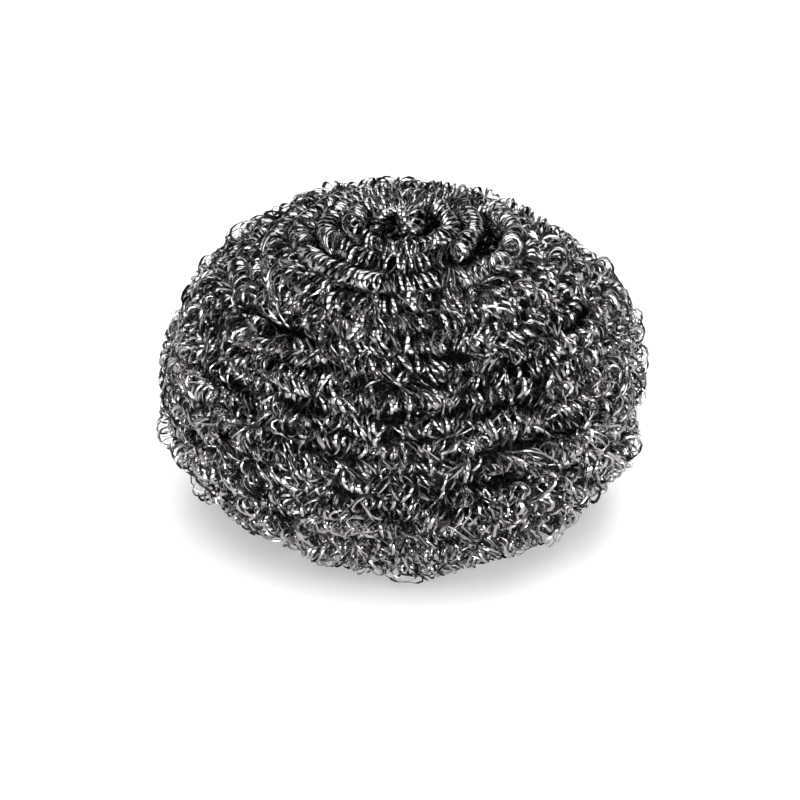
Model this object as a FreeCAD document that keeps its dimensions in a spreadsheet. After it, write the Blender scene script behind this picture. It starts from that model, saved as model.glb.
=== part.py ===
import FreeCAD, Part
import bisect
import math
import os

Vector = FreeCAD.Vector

# Driving sizes in millimetres, then counts
SIZES = (
    ("width", 120, "across X, outside the coils"),
    ("depth", 110, "across Y, outside the coils"),
    ("dome_height", 84, "from the floor to the pole of the dome, above the crown's dimple"),
    ("belly_height", 38, "of the widest loop above the floor"),
    ("rest_radius", 39, "along X, of the loop where the underside turns flat"),
    ("strand_diameter", 5, "outside of a coiled strand"),
    ("loop_gap", 0.8, "least gap between neighbouring loops"),
    ("core_gap", 0.3, "between the strands and the core"),
    ("pocket_clearance", 0.2, "round a strand's end tucked into the core"),
    ("tuck_radius", 5.4, "of the bend that leads a strand's end inward"),
    ("floor_cut", 0.5, "depth to which the lowest loops are pressed flat"),
    ("crown_gap", 0.6, "extra room between the rose and the shoulder"),
    ("ribbon_diameter", 0.8, "thickness of one curl of the rose"),
    ("curl_pitch", 2.65, "from curl to curl along the rose"),
    ("tie_diameter", 2.6, "of the tightly pulled tie strand"),
    ("knot_radius", 3.8, "of the hook of the tie strand"),
    ("knot_bend", 3, "radius of the hook's bends into the core"),
    ("crown_room", 0.9, "between the hook and the rose's innermost loop"),
    ("base_room", 3.5, "between the hook and the innermost loop of the underside"),
    ("crown_loops", 2.5, "loops in the rose"),
)

# The strands below the rose, from the shoulder down
STRANDS = (
    "shoulder_coil",
    "upper_side_coil",
    "upper_belly_coil",
    "belly_coil",
    "lower_belly_coil",
    "heel_coil",
    "base_coil",
)

MERIDIAN_STEPS = 720
# A line's direction is taken over this share of a turn to either side
NEAR = 1 / 400
# Lengths of one tube count as neighbours when they are this many radii apart along it
APART = 16
# Curls are round, and a quarter turn of one is two arcs; loops are oval, and arcs keep to them over an eighth
CURL_STEP = math.pi / 2
LOOP_STEP = math.pi / 4
# Two tucked ends side by side need this many bend radii along the loop
TUCK_REACH = 2.5
# Share of the way inward in the first end's direction, which is otherwise straight down
FIRST_LEAN = 0.45


def make_sheet(doc):
    sheet = doc.addObject("Spreadsheet::Sheet", "Sizes")
    for row, (alias, value, note) in enumerate(SIZES, 1):
        sheet.set(f"A{row}", note)
        sheet.set(f"B{row}", str(value))
        sheet.setAlias(f"B{row}", alias)
    doc.recompute()
    return sheet


class Ball:
    """The spiral line that every strand's middle follows: from the crown, over the belly, to the base."""

    def __init__(self, sheet):
        self.sheet = sheet
        self.strand = sheet.get("strand_diameter") / 2
        self.half_width = sheet.get("width") / 2 - self.strand
        self.half_depth = sheet.get("depth") / 2 - self.strand
        self.belly = sheet.get("belly_height")
        self.rise = sheet.get("dome_height") - self.belly - self.strand
        self.floor = self.strand - sheet.get("floor_cut")
        self.lowest = math.acos(sheet.get("rest_radius") / self.half_width)
        self.drop = (self.belly - self.floor) / math.sin(self.lowest)
        self.narrow = self.half_depth / self.half_width
        spacing = sheet.get("strand_diameter") + sheet.get("loop_gap")
        self.pitch = spacing / min(self.narrow, 1)
        knot = sheet.get("knot_radius") + sheet.get("tie_diameter") / 2
        # Radii along X of the first loop round the upper hook and the last loop round the lower one
        self.first_loop = (knot + sheet.get("crown_room") + self.strand) / min(self.narrow, 1)
        self.last_loop = (knot + sheet.get("base_room") + self.strand) / min(self.narrow, 1)
        self.draw_meridian()

    def draw_meridian(self):
        """The section line in the XZ plane, with the distance run along it up to each point."""
        span = math.pi / 2 + self.lowest
        self.section = []
        for step in range(MERIDIAN_STEPS + 1):
            angle = math.pi / 2 - span * step / MERIDIAN_STEPS
            reach = self.rise if angle > 0 else self.drop
            z = self.belly + reach * math.sin(angle)
            self.section.append((self.half_width * math.cos(angle), z))
        self.section.append((self.last_loop / 2, self.floor))
        self.runs = [0.0]
        for (radius, z), (next_radius, next_z) in zip(self.section, self.section[1:]):
            self.runs.append(self.runs[-1] + math.hypot(next_radius - radius, next_z - z))
        # Where a round strand comes down to the floor, where the flat underside starts, and where it ends
        self.touch = max(run for run, point in zip(self.runs, self.section) if point[1] >= self.strand)
        self.flat = self.runs[-2]
        self.finish = self.runs[-1] - self.last_loop / 2

    def on_meridian(self, run):
        """Radius and height at a distance along the section line."""
        index = min(max(bisect.bisect(self.runs, run), 1), len(self.runs) - 1)
        share = (run - self.runs[index - 1]) / (self.runs[index] - self.runs[index - 1])
        radius, z = self.section[index - 1]
        next_radius, next_z = self.section[index]
        return radius + share * (next_radius - radius), z + share * (next_z - z)

    def run_at_crown(self, radius):
        """Distance along the section line to this radius on the top half."""
        index = next(i for i, point in enumerate(self.section) if point[0] >= radius)
        return self.runs[index]

    def point(self, run, inset=0):
        """The spiral at a distance along the section line, drawn this far back towards the crown."""
        radius, z = self.on_meridian(run - inset)
        angle = 2 * math.pi * run / self.pitch
        return Vector(radius * math.cos(angle), self.narrow * radius * math.sin(angle), z)

    def outward(self, point):
        if point.z < self.floor + 1e-6:
            return Vector(0, 0, -1)
        reach = self.rise if point.z > self.belly else self.drop
        return Vector(
            point.x / self.half_width**2,
            point.y / self.half_depth**2,
            (point.z - self.belly) / reach**2,
        ).normalize()

    def inward(self, run):
        """Into the ball from the spiral, half-way between square to the loop before and to the loop after."""
        before = self.outward(self.point(run - self.pitch))
        after = self.outward(self.point(run + self.pitch))
        return -(before + after).normalize()

    def run_for_length(self, run, length):
        """How far the section line advances while the spiral covers at least this length."""
        radius = self.on_meridian(run)[0] * min(self.narrow, 1)
        return self.pitch * length / (2 * math.pi * radius)


def direction(line, place, step):
    return (line(place + step) - line(place - step)).normalize()


def bend(start, corner, end):
    """The arc that leaves start towards the corner and arrives at end from it."""
    middle = (start + end) * 0.5
    sag = corner - middle
    half_chord = (end - start).Length / 2
    if sag.Length < 1e-6 * half_chord:
        return Part.LineSegment(start, end).toShape()
    angle = math.atan2(sag.Length, half_chord)
    crest = middle + sag * (half_chord * math.tan(angle / 2) / sag.Length)
    return Part.Arc(start, crest, end).toShape()


def biarc(start, leaving, end, arriving):
    """Two arcs that join two points with given directions."""
    chord = end - start
    both = leaving + arriving
    square = 2 * (1 - leaving.dot(arriving))
    linear = 2 * chord.dot(both)
    length = chord.dot(chord)
    if square < 1e-9:
        reach = length / linear
    else:
        reach = (math.sqrt(linear**2 + 4 * square * length) - linear) / (2 * square)
    first = start + leaving * reach
    second = end - arriving * reach
    joint = (first + second) * 0.5
    return [bend(start, first, joint), bend(joint, second, end)]


def follow(line, places, step):
    """Biarcs through a line's points at these places."""
    nodes = [(line(place), direction(line, place, step)) for place in places]
    edges = []
    for (start, leaving), (end, arriving) in zip(nodes, nodes[1:]):
        edges += biarc(start, leaving, end, arriving)
    return edges


def tube(edges, radius):
    """A round solid along joined edges."""
    path = Part.Wire(edges)
    first = edges[0]
    start = first.valueAt(first.FirstParameter)
    heading = first.tangentAt(first.FirstParameter)
    shell = Part.BRepOffsetAPI.MakePipeShell(path)
    shell.add(Part.Wire(Part.makeCircle(radius, start, heading)))
    shell.build()
    shell.makeSolid()
    return shell.shape()


def tuck(point, heading, inward, radius, straight):
    """A bend from the surface into the ball and a straight end, as edges that lead away from the point."""
    reach = radius * math.tan(heading.getAngle(inward) / 2)
    corner = point + heading * reach
    bottom = corner + inward * reach
    return [
        bend(point, corner, bottom),
        Part.LineSegment(bottom, bottom + inward * straight).toShape(),
    ]


def turned_round(edges):
    """The same edges walked from the far end."""
    walked = []
    for edge in reversed(edges):
        points = [edge.valueAt(edge.LastParameter), edge.valueAt(edge.FirstParameter)]
        if isinstance(edge.Curve, Part.Line):
            walked.append(Part.LineSegment(*points).toShape())
        else:
            crest = edge.valueAt((edge.FirstParameter + edge.LastParameter) / 2)
            walked.append(Part.Arc(points[0], crest, points[1]).toShape())
    return walked


def least_gap(edges, radius):
    """Smallest gap between neighbouring lengths of one tube, from points along it."""
    spacing = 2 * radius / 3
    points = []
    for edge in edges:
        points += edge.discretize(max(2, math.ceil(edge.Length / spacing)))[:-1]
    skip = math.ceil(APART * radius / spacing)
    closest = min((a - b).Length for i, a in enumerate(points) for b in points[i + skip :])
    return closest - 2 * radius


def report_tube(name, shape, edges, radius):
    section = math.pi * radius**2
    length = sum(edge.Length for edge in edges)
    gap = least_gap(edges, radius)
    print(f"{name}: {length:.1f} mm long, gap to itself {gap:.2f} mm", end=", ")
    print(f"volume {shape.Volume:.1f} of {section * length:.1f} mm3")


def add_shape(doc, name, shape):
    item = doc.addObject("Part::Feature", name)
    item.Shape = shape
    item.Placement = FreeCAD.Placement()
    return item


def make_strand(doc, ball, name, first_run, last_run, inwards):
    """One strand with its ends tucked in along the given directions; also returns its ends' paths."""
    sheet = ball.sheet
    turn = 2 * math.pi * (last_run - first_run) / ball.pitch
    steps = max(1, round(turn / LOOP_STEP))
    places = [first_run + (last_run - first_run) * i / steps for i in range(steps + 1)]
    step = ball.pitch * NEAR
    ends = []
    for place, sign, inward in ((first_run, -1, inwards[0]), (last_run, 1, inwards[1])):
        heading = direction(ball.point, place, step) * sign
        ends.append(
            tuck(ball.point(place), heading, inward, sheet.get("tuck_radius"), 2 * ball.strand)
        )
    edges = turned_round(ends[0]) + follow(ball.point, places, step) + ends[1]
    winding = tube(edges, ball.strand)
    report_tube(name, winding, edges, ball.strand)
    item = add_shape(doc, name, winding)
    item.Label = name
    return item, ends


def press_flat(doc, strand, floor_box):
    """The strand with its underside cut level with the floor."""
    name = strand.Label
    strand.Label = name + "_round"
    cut = doc.addObject("Part::Cut", name + "_flat")
    cut.Base = strand
    cut.Tool = floor_box
    cut.Label = name
    return cut


def make_crown(doc, ball, first_run, last_run):
    """The rose: one ribbon in curls along the first loops of the spiral, its ends stopping at the core."""
    sheet = ball.sheet
    ribbon = sheet.get("ribbon_diameter") / 2
    curl_radius = ball.strand - ribbon

    def line(run):
        return ball.point(run, sheet.get("crown_gap"))

    steps = round(2 * math.pi * sheet.get("crown_loops") / LOOP_STEP)
    places = [first_run + (last_run - first_run) * i / steps for i in range(steps + 1)]
    step = ball.pitch * NEAR
    length = sum(edge.Length for edge in follow(line, places, step))
    curls = math.floor(length / sheet.get("curl_pitch"))
    # Half a curl more, so that the ribbon leaves the core on one side and meets it on the other
    quarters = 4 * curls + 2
    inner = ball.on_meridian(first_run)[0]
    outer = ball.on_meridian(last_run)[0]

    def curl(place):
        """A point on the curls, by quarter turns from the first end, evenly along the spiral's length."""
        radius = math.sqrt(inner**2 + (outer**2 - inner**2) * place / quarters)
        run = first_run + (last_run - first_run) * (radius - inner) / (outer - inner)
        middle = line(run)
        along = direction(line, run, step)
        side = along.cross(ball.outward(middle)).normalize()
        up = side.cross(along)
        angle = CURL_STEP * (place - 1)
        return middle + (up * math.cos(angle) + side * math.sin(angle)) * curl_radius

    curl_step = 4 * NEAR
    start = curl(0)
    end = curl(quarters)
    entry = start - direction(curl, 0, curl_step) * ball.strand
    exit_point = end + direction(curl, quarters, curl_step) * ball.strand
    edges = [Part.LineSegment(entry, start).toShape()]
    edges += follow(curl, range(quarters + 1), curl_step)
    edges.append(Part.LineSegment(end, exit_point).toShape())
    winding = tube(edges, ribbon)
    report_tube("crown_coil", winding, edges, ribbon)
    print(f"crown_coil: {curls} curls")
    item = add_shape(doc, "crown_coil", winding)
    item.Label = "crown_coil"
    return item


def hook(ball, seat, upward):
    """Half a loop of the tie strand lying on the core, as edges from its long run to its tucked end."""
    sheet = ball.sheet
    radius = sheet.get("knot_radius")
    bend_radius = sheet.get("knot_bend")
    tie = sheet.get("tie_diameter") / 2
    level = seat + upward * (sheet.get("core_gap") + tie)
    inner = level - upward * bend_radius
    rising = Vector(-radius, bend_radius, inner)
    left = Vector(-radius, 0, level)
    front = Vector(0, -radius, level)
    right = Vector(radius, 0, level)
    tail = Vector(radius, bend_radius, inner)
    return [
        bend(rising, Vector(-radius, bend_radius, level), left),
        Part.Arc(left, front, right).toShape(),
        bend(right, Vector(radius, bend_radius, level), tail),
        Part.LineSegment(tail, tail - Vector(0, 0, upward * 2 * tie)).toShape(),
    ]


def make_tie(doc, ball, core_top, core_bottom):
    """The pulled-out strand through the middle, with a hook over the crown and one under the base."""
    sheet = ball.sheet
    tie = sheet.get("tie_diameter") / 2
    upper = hook(ball, core_top, 1)
    lower = hook(ball, core_bottom, -1)
    high = upper[0].valueAt(upper[0].FirstParameter)
    low = lower[0].valueAt(lower[0].FirstParameter)
    middle = Part.LineSegment(low, high).toShape()
    edges = turned_round(lower) + [middle] + upper
    winding = tube(edges, tie)
    report_tube("tie_strand", winding, edges, tie)
    item = add_shape(doc, "tie_strand", winding)
    item.Label = "tie_strand"
    channels = [turned_round(lower[:1]) + [middle] + upper[:1], upper[2:], lower[2:]]
    return item, channels


def make_floor(doc):
    """The space under the floor, which flattens the lowest loops."""
    box = doc.addObject("Part::Box", "UnderFloor")
    box.setExpression("Length", "Sizes.width * 2")
    box.setExpression("Width", "Sizes.depth * 2")
    box.setExpression("Height", "Sizes.strand_diameter")
    box.setExpression("Placement.Base.x", "-Sizes.width")
    box.setExpression("Placement.Base.y", "-Sizes.depth")
    box.setExpression("Placement.Base.z", "-Sizes.strand_diameter")
    return box


def make_core(doc, pockets):
    """The inner mass: a rounded body inside the strands, flat below, with a pocket for each tucked end."""
    inset = "(Sizes.strand_diameter / 2 + Sizes.core_gap)"
    half_width = "(Sizes.width - Sizes.strand_diameter) / 2"
    half_depth = "(Sizes.depth - Sizes.strand_diameter) / 2"
    rise = "Sizes.dome_height - Sizes.belly_height - Sizes.strand_diameter / 2"
    fall = "(Sizes.belly_height - Sizes.strand_diameter / 2 + Sizes.floor_cut)"
    drop = f"{fall} / sqrt(1 - (Sizes.rest_radius / ({half_width}))^2)"
    halves = []
    for name, reach, low, high in (("CoreTop", rise, 0, 90), ("CoreBottom", drop, -90, 0)):
        half = doc.addObject("Part::Ellipsoid", name)
        half.Angle1 = low
        half.Angle2 = high
        half.setExpression("Radius1", f"{reach} - {inset}")
        half.setExpression("Radius2", f"{half_width} - {inset}")
        half.setExpression("Radius3", f"{half_depth} - {inset}")
        half.setExpression("Placement.Base.z", "Sizes.belly_height")
        halves.append(half)
    whole = doc.addObject("Part::Fuse", "CoreBody")
    whole.Base, whole.Tool = halves
    below = doc.addObject("Part::Box", "BelowCore")
    below.setExpression("Length", "Sizes.width")
    below.setExpression("Width", "Sizes.depth")
    below.setExpression("Height", "Sizes.dome_height")
    below.setExpression("Placement.Base.x", "-Sizes.width / 2")
    below.setExpression("Placement.Base.y", "-Sizes.depth / 2")
    seat = "Sizes.strand_diameter - Sizes.floor_cut + Sizes.core_gap"
    below.setExpression("Placement.Base.z", f"{seat} - Sizes.dome_height")
    flat = doc.addObject("Part::Cut", "FlatCore")
    flat.Base = whole
    flat.Tool = below
    core = doc.addObject("Part::Cut", "core_wad")
    core.Base = flat
    core.Tool = add_shape(doc, "TuckPockets", Part.makeCompound(pockets))
    core.Label = "core_wad"
    return core


def make_part():
    doc = FreeCAD.newDocument("SpiralScourer")
    sheet = make_sheet(doc)
    ball = Ball(sheet)
    clearance = sheet.get("pocket_clearance")
    floor_box = make_floor(doc)

    rose_start = ball.run_at_crown(ball.first_loop) + sheet.get("crown_gap")
    rose_end = rose_start + sheet.get("crown_loops") * ball.pitch
    parts = [make_crown(doc, ball, rose_start, rose_end)]

    # The ends of two strands bend inward side by side, so the next strand starts this far on
    side_by_side = 2 * (ball.strand + clearance) + sheet.get("loop_gap")
    between = TUCK_REACH * sheet.get("tuck_radius") + side_by_side
    start = rose_end + ball.run_for_length(rose_end, between / 2)
    raised = len(STRANDS) - 1
    bounds = [start + (ball.flat - start) * i / raised for i in range(raised + 1)] + [ball.finish]
    pockets = []
    # The shoulder's first end goes almost straight down, clear of the rose when that is pressed in
    first_inward = (ball.inward(start) * FIRST_LEAN - Vector(0, 0, 1)).normalize()
    for name, first_run, next_run in zip(STRANDS, bounds, bounds[1:]):
        last_run = next_run
        if name != STRANDS[-1]:
            # The last strand above the flat underside stops where it comes down to the floor
            last_run = min(next_run - ball.run_for_length(next_run, between), ball.touch)
        last_inward = ball.inward((last_run + next_run) / 2)
        inwards = (first_inward, last_inward)
        item, ends = make_strand(doc, ball, name, first_run, last_run, inwards)
        if name == STRANDS[-1]:
            item = press_flat(doc, item, floor_box)
        first_inward = last_inward
        parts.append(item)
        pockets += [tube(end, ball.strand + clearance) for end in ends]

    core_top = sheet.get("dome_height") - sheet.get("strand_diameter") - sheet.get("core_gap")
    core_bottom = ball.floor + ball.strand + sheet.get("core_gap")
    tie, channels = make_tie(doc, ball, core_top, core_bottom)
    parts.append(tie)
    tie_radius = sheet.get("tie_diameter") / 2
    pockets += [tube(channel, tie_radius + clearance) for channel in channels]
    parts.append(make_core(doc, pockets))

    doc.recompute()
    return doc, parts


def write_parts(doc, parts):
    for item in doc.Objects:
        if "Invalid" in item.State or "Error" in item.State:
            raise RuntimeError(f"{item.Label} failed to build")
    os.makedirs("parts", exist_ok=True)
    for item in parts:
        if item.Shape.isNull() or not item.Shape.isValid():
            raise RuntimeError(f"{item.Label} has no sound shape")
        item.Shape.exportStep(f"parts/{item.Label}.step")
        box = item.Shape.optimalBoundingBox(True, False)
        print(f"{item.Label}: {item.Shape.Volume / 1000:.2f} cm3", end=", ")
        print(f"x {box.XMin:.1f} to {box.XMax:.1f}, y {box.YMin:.1f} to {box.YMax:.1f}", end=", ")
        print(f"z {box.ZMin:.2f} to {box.ZMax:.2f}")


document, sub_parts = make_part()
write_parts(document, sub_parts)
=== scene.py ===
import bpy
import math
import numpy as np
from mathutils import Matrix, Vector


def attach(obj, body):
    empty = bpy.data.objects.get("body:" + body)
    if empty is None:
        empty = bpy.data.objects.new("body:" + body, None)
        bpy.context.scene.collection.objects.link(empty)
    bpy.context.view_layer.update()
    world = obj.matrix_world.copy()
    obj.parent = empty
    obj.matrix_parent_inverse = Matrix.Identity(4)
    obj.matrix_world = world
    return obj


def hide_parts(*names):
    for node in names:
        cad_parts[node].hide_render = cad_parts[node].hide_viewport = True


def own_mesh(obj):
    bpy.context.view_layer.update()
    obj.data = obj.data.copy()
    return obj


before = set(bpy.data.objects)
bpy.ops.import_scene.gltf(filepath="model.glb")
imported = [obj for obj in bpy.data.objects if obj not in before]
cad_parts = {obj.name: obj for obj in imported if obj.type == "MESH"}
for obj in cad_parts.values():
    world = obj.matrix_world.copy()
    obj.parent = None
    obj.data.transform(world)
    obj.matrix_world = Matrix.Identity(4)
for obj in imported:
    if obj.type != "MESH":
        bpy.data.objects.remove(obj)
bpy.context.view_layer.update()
print("frame loaded")

# Line of the winding in metres: an oval dome over the belly, an oval bowl under it and a flat underside
ball = {
    "halfWidth": 0.0575,  # to the middle of the outer strand
    "halfDepth": 0.0525,
    "belly": 0.037,
    "rise": 0.0437,  # from the belly to the middle of the strand at the pole
    "lowest": 0.002,  # the middle of the strands under the ball
    "restRadius": 0.0335,
    "innermost": 0.002,  # radius at which the line under the ball ends
    "squareness": 0.9,  # 1 for an oval section, less for a fuller one
    "loopPitch": 0.00635,
    "lumps": 0.0009,  # how far the hand-squeezed ball swells and dips
    "fuzz": 0.0022,  # how far sprung curls stand out
    "aside": -0.0040,  # how far the crown sits off the middle
    "asideReach": 0.034,  # distance from the crown over which that fades
}
lumpWaves = (  # lumps to a turn, where they start, how they lean with the height, and their share
    {"count": 2, "start": 0.8, "lean": 40, "share": 1.0},
    {"count": 3, "start": 0.0, "lean": -60, "share": 0.8},
)


def windingLine():
    ovalSteps = 600
    flatSteps = 40
    power = ball["squareness"]
    lowest = math.acos((ball["restRadius"] / ball["halfWidth"]) ** (1 / power))
    drop = (ball["belly"] - ball["lowest"]) / math.sin(lowest) ** power
    angles = np.linspace(math.pi / 2, -lowest, ovalSteps)
    radii = ball["halfWidth"] * np.clip(np.cos(angles), 0, 1) ** power
    rises = np.sign(angles) * np.abs(np.sin(angles)) ** power
    heights = ball["belly"] + np.where(angles > 0, ball["rise"], drop) * rises
    flat = np.linspace(radii[-1], ball["innermost"], flatSteps)[1:]
    line = {
        "radius": np.append(radii, flat),
        "height": np.append(heights, np.full(len(flat), heights[-1])),
    }
    steps = np.hypot(np.diff(line["radius"]), np.diff(line["height"]))
    line["run"] = np.append(0, np.cumsum(steps))
    line["flatRun"] = line["run"][len(radii) - 1]
    # The way out of the ball, square to the line
    line["sideways"] = -np.gradient(line["height"], line["run"])
    line["upwards"] = np.gradient(line["radius"], line["run"])
    return line


line = windingLine()


def onBall(run, turn, depth):  # a distance from the crown, a turn round the ball, a depth under its skin
    keys = ("radius", "height", "sideways", "upwards")
    along = {key: np.interp(run, line["run"], line[key]) for key in keys}
    angle = 2 * math.pi * turn
    swell = 0
    for wave in lumpWaves:
        phase = wave["count"] * angle + wave["start"] + wave["lean"] * along["height"]
        swell = swell + wave["share"] * np.sin(phase)
    depth = depth - ball["lumps"] * swell * np.clip(along["sideways"], 0, 1)
    radius = along["radius"] - depth * along["sideways"]
    narrow = ball["halfDepth"] / ball["halfWidth"]
    height = along["height"] - depth * along["upwards"]
    aside = ball["aside"] * np.clip(1 - run / ball["asideReach"], 0, 1)
    return np.stack([aside + radius * np.cos(angle), narrow * radius * np.sin(angle), height], 1)


def drift(random, count, width):  # smooth random values with unit spread
    width = max(width, 1.0)
    reach = int(3 * width)
    kernel = np.exp(-0.5 * (np.arange(-reach, reach + 1) / width) ** 2)
    kernel /= math.sqrt((kernel**2).sum())
    return np.convolve(random.normal(size=count + 2 * reach), kernel, "valid")


def deselect():
    bpy.ops.object.select_all(action="DESELECT")


def drawPath(name, points):
    data = bpy.data.curves.new(name, "CURVE")
    data.dimensions = "3D"
    data.resolution_u = 3
    spline = data.splines.new("NURBS")
    spline.points.add(len(points) - 1)
    spline.points.foreach_set("co", np.column_stack([points, np.ones(len(points))]).ravel())
    spline.order_u = 4
    spline.use_endpoint_u = True
    path = bpy.data.objects.new(name, data)
    bpy.context.collection.objects.link(path)
    return path, spline.calc_length()


def curledRibbon(name, look, length, seed, share):  # a straight, uneven spring along Z
    random = np.random.default_rng(seed)
    deselect()
    bpy.ops.mesh.primitive_plane_add(size=1)
    ribbon = bpy.context.object
    ribbon.name = name
    bpy.ops.object.mode_set(mode="EDIT")
    bpy.ops.mesh.select_all(action="SELECT")
    # On its corner and flattened, the square is a lens-shaped section
    bpy.ops.transform.rotate(value=math.pi / 4, orient_axis="Z", center_override=(0, 0, 0))
    bpy.ops.transform.resize(value=(look["thick"] / math.sqrt(2), look["wide"] / math.sqrt(2), 1))
    bpy.ops.transform.rotate(value=math.pi / 2, orient_axis="X", center_override=(0, 0, 0))
    bpy.ops.transform.translate(value=(look["curl"], 0, 0))
    bpy.ops.mesh.delete(type="ONLY_FACE")
    bpy.ops.object.mode_set(mode="OBJECT")
    winding = ribbon.modifiers.new("Winding", "SCREW")
    winding.axis = "Z"
    winding.steps = winding.render_steps = look["steps"]
    winding.iterations = int(length / look["pitch"])
    winding.screw_offset = look["pitch"]
    bpy.ops.object.modifier_apply(modifier=winding.name)
    bpy.ops.object.mode_set(mode="EDIT")
    bpy.ops.mesh.select_all(action="SELECT")
    bpy.ops.mesh.fill_holes(sides=4)
    bpy.ops.mesh.normals_make_consistent(inside=False)
    bpy.ops.object.mode_set(mode="OBJECT")
    unroll(ribbon, share)
    loosen(ribbon, look, random)
    return ribbon


def unroll(ribbon, share):  # lays the ribbon's sides out in rows, in a share of the height of its map
    rowLength = 1000  # in rings of four corners
    margin = 0.15  # of a strip's height, on both sides
    sideSums = (2, 4, 8, 10)  # a side's four corner numbers, added up
    layer = ribbon.data.uv_layers.new(name="OFBake")
    corners = np.empty(len(ribbon.data.loops), int)
    ribbon.data.loops.foreach_get("vertex_index", corners)
    rings, corners = np.divmod(corners.reshape(-1, 4), 4)
    rows = rings.min(1) // rowLength
    sides = np.searchsorted(sideSums, corners.sum(1))
    across = margin + (1 - 2 * margin) * (corners == corners.max(1)[:, None])
    places = np.empty((*rings.shape, 2))
    places[:, :, 0] = (rings - rowLength * rows[:, None]) / rowLength
    strips = (4 * rows[:, None] + sides[:, None] + across) / (4 * (rows.max() + 1))
    places[:, :, 1] = share[0] + (share[1] - share[0]) * strips
    layer.data.foreach_set("uv", places.ravel())


# How many curls each kind of unevenness lasts for, and the most that it may add or take away
lasting = {"twist": 1.5, "unequal": 0.7, "uneven": 0.5, "lean": 0.9, "stray": 1.8, "bunch": 2.5}
most = {"unequal": (-1.8, 2.2), "uneven": (-2, 2)}


def loosen(ribbon, look, random):  # moves, turns and leans each ring of four corners by smooth random amounts
    places = np.empty(3 * len(ribbon.data.vertices))
    ribbon.data.vertices.foreach_get("co", places)
    rings = places.reshape(-1, 4, 3)

    def uneven(curls):
        return drift(random, len(rings), curls * look["steps"])

    middle = rings.mean(1)
    angle = np.arctan2(middle[:, 1], middle[:, 0]) + look["twist"] * uneven(lasting["twist"])
    radius = look["curl"] * (1 + look["unequal"] * np.clip(uneven(lasting["unequal"]), *most["unequal"]))
    across = np.hypot(rings[:, :, 0], rings[:, :, 1]) - look["curl"]
    along = rings[:, :, 2] - middle[:, 2:]
    roll = look["roll"] * uneven(look["rollLength"])
    width = 1 + look["uneven"] * np.clip(uneven(lasting["uneven"]), *most["uneven"])
    turned = across * np.cos(roll)[:, None] - along * (width * np.sin(roll))[:, None]
    lifted = across * np.sin(roll)[:, None] + along * (width * np.cos(roll))[:, None]
    reach = radius[:, None] + turned
    leanOne = uneven(lasting["lean"]) * np.cos(angle)
    leanTwo = uneven(lasting["lean"]) * np.sin(angle)
    lean = look["lean"] * (leanOne + leanTwo)
    rings[:, :, 0] = reach * np.cos(angle)[:, None] + (look["stray"] * uneven(lasting["stray"]))[:, None]
    rings[:, :, 1] = reach * np.sin(angle)[:, None] + (look["stray"] * uneven(lasting["stray"]))[:, None]
    bunch = look["bunch"] * uneven(lasting["bunch"])
    rings[:, :, 2] = middle[:, 2:] + lifted + (radius * lean + bunch)[:, None]
    ribbon.data.vertices.foreach_set("co", rings.ravel())
    ribbon.data.update()


def coilAlong(name, points, look, seed, share=(0, 1)):
    path, length = drawPath(name + "Path", points)
    coil = curledRibbon(name, look, length, seed, share)
    follow = coil.modifiers.new("Follow", "CURVE")
    follow.object = path
    follow.deform_axis = "POS_Z"
    bpy.ops.object.modifier_apply(modifier=follow.name)
    bpy.data.objects.remove(path)
    bpy.ops.object.shade_smooth_by_angle(angle=math.radians(60))
    return coil


def strandPath(span, look, seed):  # a strand's middle line over a span of the winding, in runs from the crown
    pathSeed = 1000  # apart from the seeds of the curls
    spacing = 0.0025
    random = np.random.default_rng(seed + pathSeed)
    middleRadius = np.interp((span[0] + span[1]) / 2, line["run"], line["radius"])
    count = int(2 * math.pi * middleRadius * (span[1] - span[0]) / ball["loopPitch"] / spacing)
    place = np.linspace(span[0], span[1], count)
    turn = place / ball["loopPitch"] + look["phase"]
    sway = look["sway"] * drift(random, count, look["swayLength"] / spacing)
    sway += look["wander"] * drift(random, count, look["wanderLength"] / spacing)
    bob = look["bob"] * drift(random, count, look["swayLength"] / spacing)
    return onBall(place + sway, turn, ball["fuzz"] + look["depth"] + bob)


def joined(name, pieces):
    deselect()
    for piece in pieces:
        piece.select_set(True)
    bpy.context.view_layer.objects.active = pieces[0]
    bpy.ops.object.join()
    whole = bpy.context.object
    whole.name = name
    print(name, 2 * len(whole.data.polygons), "triangles")
    return whole


def settle(piece):  # curls that would reach under the floor lie flat on it
    soft = 0.0012  # height under which they give way
    places = np.empty(3 * len(piece.data.vertices))
    piece.data.vertices.foreach_get("co", places)
    low = places[2::3] < soft
    places[2::3][low] = soft * np.exp((places[2::3][low] - soft) / soft)
    piece.data.vertices.foreach_set("co", places)
    piece.data.update()


class Wire:  # a shader socket that takes part in sums
    def __init__(self, tree, socket):
        self.tree = tree
        self.socket = socket

    def make(self, kind, inputs, output=0, **settings):
        node = self.tree.nodes.new(kind)
        for key, value in settings.items():
            setattr(node, key, value)
        for key, value in inputs.items():
            if isinstance(value, Wire):
                self.tree.links.new(value.socket, node.inputs[key])
            else:
                node.inputs[key].default_value = value
        return Wire(self.tree, node.outputs[output])

    def maths(self, operation, first, second):
        return self.make("ShaderNodeMath", {0: first, 1: second}, operation=operation)

    def __add__(self, other):
        return self.maths("ADD", self, other)

    __radd__ = __add__

    def __mul__(self, other):
        return self.maths("MULTIPLY", self, other)

    __rmul__ = __mul__

    def __sub__(self, other):
        return self.maths("SUBTRACT", self, other)

    def __rsub__(self, other):
        return self.maths("SUBTRACT", other, self)


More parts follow.
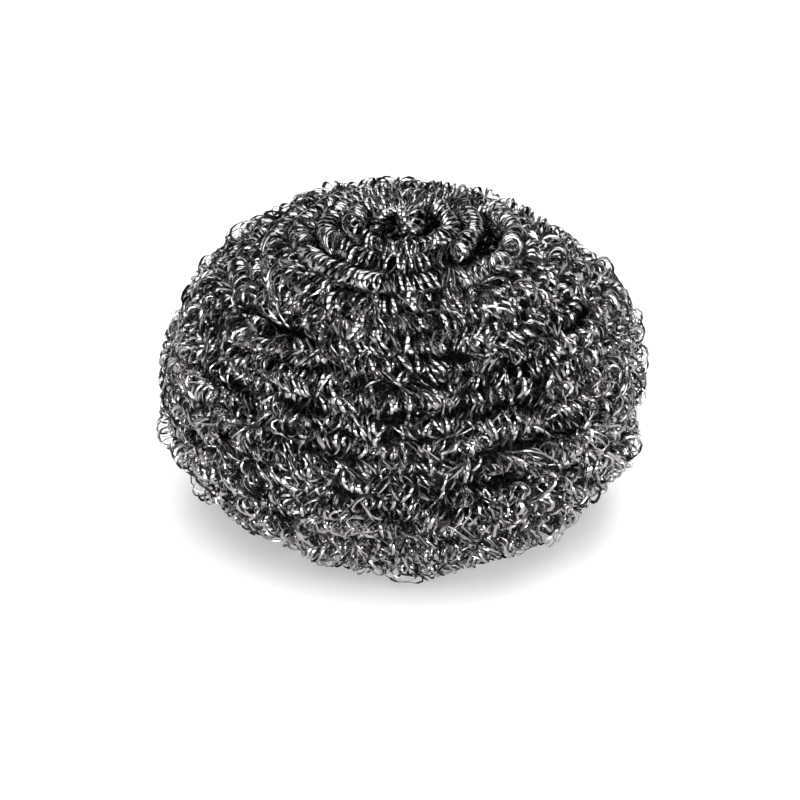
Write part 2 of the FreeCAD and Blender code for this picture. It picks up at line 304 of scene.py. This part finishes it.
def steel(name, look):
    material = bpy.data.materials.new(name)
    material.use_nodes = True
    tree = material.node_tree
    shader = tree.nodes["Principled BSDF"]
    shader.inputs["Metallic"].default_value = 1
    places = Wire(tree, tree.nodes.new("ShaderNodeTexCoord").outputs["Object"])
    cloud = places.make("ShaderNodeTexNoise", {"Vector": places, "Scale": look["grain"], "Detail": 2.0})
    ends = {"Factor": cloud, "A": (*look["dark"], 1), "B": (*look["light"], 1)}
    colour = places.make("ShaderNodeMix", ends, output=2, data_type="RGBA")
    tree.links.new(colour.socket, shader.inputs["Base Color"])
    roughness = look["rough"] + look["roughSpread"] * (cloud - 0.5)
    tree.links.new(roughness.socket, shader.inputs["Roughness"])
    return material


brightSteel = steel("brightSteel", {
    "dark": (0.06, 0.058, 0.06), "light": (0.53, 0.508, 0.525), "grain": 350.0,
    "rough": 0.2, "roughSpread": 0.16,
})
# The same steel made much darker for the curls inside: painted shade standing for the shade deep in the ball;
# only its random grain is the steel's own
paintedShadeInnerSteel = steel("paintedShadeInnerSteel", {
    "dark": (0.02, 0.019, 0.02), "light": (0.1, 0.097, 0.1), "grain": 700.0,
    "rough": 0.22, "roughSpread": 0.2,
})
# Near-black steel for the wad inside: painted shade
paintedShadeSteel = steel("paintedShadeSteel", {
    "dark": (0.012, 0.012, 0.012), "light": (0.035, 0.034, 0.035), "grain": 500.0,
    "rough": 0.6, "roughSpread": 0.2,
})


def place(piece, body, slotName, nodes, material):
    piece.data.materials.clear()
    piece.data.materials.append(material)
    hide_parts(*nodes)
    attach(piece, body)
    if body == "ball":
        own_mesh(piece)


# Curls pulled tight and in order, as round the crown, and sprung open and tangled, as on the sides
tight = {
    "steps": 16, "pitch": 0.0018, "curl": 0.0026, "wide": 0.0009, "thick": 0.00022,
    "uneven": 0.15, "roll": 0.35, "rollLength": 0.5, "unequal": 0.12, "twist": 0.25, "lean": 0.45,
    "stray": 0.0004, "bunch": 0.0007, "sway": 0.0005, "bob": 0.0006, "swayLength": 0.012,
    "wander": 0.0008, "wanderLength": 0.030, "depth": 0.0, "phase": 0.0,
}
loose = {
    "steps": 12, "pitch": 0.0016, "curl": 0.0019, "wide": 0.0006, "thick": 0.00014,
    "uneven": 0.2, "roll": 1.5, "rollLength": 0.3, "unequal": 0.25, "twist": 0.5, "lean": 0.6,
    "stray": 0.0006, "bunch": 0.0008, "sway": 0.0011, "bob": 0.0012, "swayLength": 0.006,
    "wander": 0.0003, "wanderLength": 0.024, "depth": 0.0, "phase": 0.0,
}


def between(share, **changes):  # a look part way from tight to loose
    look = {key: tight[key] + (loose[key] - tight[key]) * share for key in tight}
    look["steps"] = int(look["steps"])
    return dict(look, **changes)


# The strands from the shoulder to the base, each three plies of ribbon a third of a turn apart
strands = {
    "roseSpan": (0.0060, 0.0260),  # in runs from the crown
    "roseGap": 0.0005,
    "baseHole": 0.012,  # radius of the hollow in the loops under the ball
    "plies": 3,
    "tightDepth": 0.0022,  # how far the second and third ply lie under the first
    "looseDepth": 0.0004,
}
looseness = {
    "shoulder_coil": 0.4, "upper_side_coil": 0.75, "upper_belly_coil": 1.0, "belly_coil": 1.0,
    "lower_belly_coil": 1.0, "heel_coil": 0.9, "base_coil": 0.8,
}
firstRun = strands["roseSpan"][1] + strands["roseGap"]
lastRun = line["flatRun"] + ball["restRadius"] - strands["baseHole"]
strandEnds = np.append(np.linspace(firstRun, line["flatRun"], len(looseness)), lastRun)
for number, (node, share) in enumerate(looseness.items()):
    lower = strands["looseDepth"] * share + strands["tightDepth"] * (1 - share)
    plies = strands["plies"]
    coils = []
    for ply in range(plies):
        look = between(share, phase=ply / plies, depth=lower if ply else 0.0)
        seed = 10 * number + ply
        points = strandPath(strandEnds[number:number + 2], look, seed)
        mapShare = (ply / plies, (ply + 1) / plies)
        coils.append(coilAlong(f"{node}Ply{ply}", points, look, seed, mapShare))
    curls = joined(node + "Curls", coils)
    settle(curls)
    place(curls, "ball", "coil_steel", [node], brightSteel)

# The rose round the crown
rose = dict(
    tight, pitch=0.0015, curl=0.0024, wide=0.0007, roll=0.5, unequal=0.08, twist=0.15, lean=0.3,
    depth=-0.0016,
)
roseSeed = 100
points = strandPath(strands["roseSpan"], rose, roseSeed)
roseCurls = coilAlong("roseCurls", points, rose, roseSeed)
place(roseCurls, "crown", "crown_steel", ["crown_coil"], brightSteel)

# The coil inside, seen between the strands, in two layers and four pieces, in a darker copy of the steel that
# is painted shade
inside = {"firstRun": 0.002, "pieces": 4, "depths": (0.0042, 0.0075), "phase": 0.3, "seed": 200}
under = dict(loose, pitch=0.0021, sway=0.003, bob=0.001)
innerEnds = np.linspace(inside["firstRun"], lastRun, inside["pieces"] + 1)
for number in range(inside["pieces"]):
    layers = len(inside["depths"])
    coils = []
    for layer, depth in enumerate(inside["depths"]):
        look = dict(under, depth=depth, phase=inside["phase"] * layer)
        seed = inside["seed"] + 10 * number + layer
        points = strandPath(innerEnds[number:number + 2], look, seed)
        mapShare = (layer / layers, (layer + 1) / layers)
        coils.append(coilAlong(f"innerPly{number}_{layer}", points, look, seed, mapShare))
    inner = joined(f"innerCurls{number}", coils)
    settle(inner)
    place(inner, "ball", "inner_steel", ["core_wad"], paintedShadeInnerSteel)

# The wad in the middle, which stops the view through the curls; its near-black colour is painted shade
# standing for the shaded strands deep inside
wadLook = {"halfSizes": (0.0460, 0.0415, 0.0280), "height": 0.0380}
deselect()
bpy.ops.mesh.primitive_uv_sphere_add(segments=48, ring_count=24, radius=1)
wad = bpy.context.object
wad.name = "innerWad"
bpy.ops.object.mode_set(mode="EDIT")
bpy.ops.mesh.select_all(action="SELECT")
bpy.ops.transform.resize(value=wadLook["halfSizes"])
bpy.ops.transform.translate(value=(0, 0, wadLook["height"]))
bpy.ops.object.mode_set(mode="OBJECT")
bpy.ops.object.shade_smooth()
place(wad, "ball", "inner_steel", ["core_wad"], paintedShadeSteel)

# The tie's knot in the crown: up out of the middle, over in a tight fold and back in
knot = dict(
    tight, steps=14, pitch=0.0011, curl=0.0013, wide=0.0008, lean=0.25, stray=0.0002, bunch=0.0003,
)
knotSeed = 60
hookPoints = np.array([
    (-0.0072, -0.0005, 0.0740),
    (-0.0070, -0.0012, 0.0790),
    (-0.0062, -0.0012, 0.0822),
    (-0.0042, 0.0000, 0.0832),
    (-0.0018, 0.0018, 0.0834),
    (-0.0002, 0.0008, 0.0832),
    (0.0006, -0.0018, 0.0824),
    (0.0008, -0.0032, 0.0796),
    (0.0006, -0.0034, 0.0740),
])
tieCurls = coilAlong("tieCurls", hookPoints, knot, knotSeed)
place(tieCurls, "ball", "tie_steel", ["tie_strand"], brightSteel)
print("pieces made")

# A white floor with a low white ring far round it
stage = {
    "floorSize": 8, "floorGlow": 0.2, "ringRadius": 3.5, "ringHeight": 1.0, "ringGlow": 0.6,
    "white": 0.9, "roughness": 0.9, "surround": 0.03,
}


def plainWhite(name, glow):
    material = bpy.data.materials.new(name)
    material.use_nodes = True
    shader = material.node_tree.nodes["Principled BSDF"]
    shader.inputs["Base Color"].default_value = (stage["white"], stage["white"], stage["white"], 1)
    shader.inputs["Roughness"].default_value = stage["roughness"]
    shader.inputs["Specular IOR Level"].default_value = 0.0
    shader.inputs["Emission Color"].default_value = (1, 1, 1, 1)
    shader.inputs["Emission Strength"].default_value = glow
    return material


deselect()
bpy.ops.mesh.primitive_plane_add(size=stage["floorSize"])
floor = bpy.context.object
floor.name = "floor"
floor.data.materials.append(plainWhite("whiteFloor", stage["floorGlow"]))
deselect()
bpy.ops.mesh.primitive_cylinder_add(
    vertices=64, radius=stage["ringRadius"], depth=stage["ringHeight"], end_fill_type="NOTHING",
    location=(0, 0, stage["ringHeight"] / 2),
)
backdrop = bpy.context.object
backdrop.name = "backdrop"
backdrop.data.materials.append(plainWhite("whiteBackdrop", stage["ringGlow"]))

scene = bpy.context.scene
world = bpy.data.worlds.new("studio")
scene.world = world
world.use_nodes = True
surround = stage["surround"]
world.node_tree.nodes["Background"].inputs["Color"].default_value = (surround, surround, surround, 1)

lights = {
    "key": {"at": (0.0, -0.5, 1.15), "size": 1.0, "power": 16},
    "right": {"at": (1.0, -0.4, 0.5), "size": 0.6, "power": 1},
    "left": {"at": (-1.1, -0.3, 0.5), "size": 0.6, "power": 0.3},
    "back": {"at": (0.1, 0.65, 0.95), "size": 0.8, "power": 7},
    "low": {"at": (0.1, -1.0, 0.14), "size": 0.5, "power": 16},
}
lampAim = Vector((0, 0, 0.042))
for name, light in lights.items():
    deselect()
    bpy.ops.object.light_add(type="AREA", location=light["at"])
    lamp = bpy.context.object
    lamp.name = name
    lamp.data.size = light["size"]
    lamp.data.energy = light["power"]
    lamp.rotation_mode = "QUATERNION"
    lamp.rotation_quaternion = (lampAim - lamp.location).to_track_quat("-Z", "Y")

cameraView = {"elevation": 34, "distance": 0.72, "lens": 132.2, "aim": (-0.0008, 0.0, 0.0303)}
deselect()
rise = math.radians(cameraView["elevation"])
back = Vector((0, -math.cos(rise), math.sin(rise)))
bpy.ops.object.camera_add(location=Vector(cameraView["aim"]) + back * cameraView["distance"])
camera = bpy.context.object
camera.data.lens = cameraView["lens"]
camera.rotation_mode = "QUATERNION"
camera.rotation_quaternion = (-back).to_track_quat("-Z", "Y")
scene.camera = camera
scene.view_settings.view_transform = "Standard"
print("stage set")
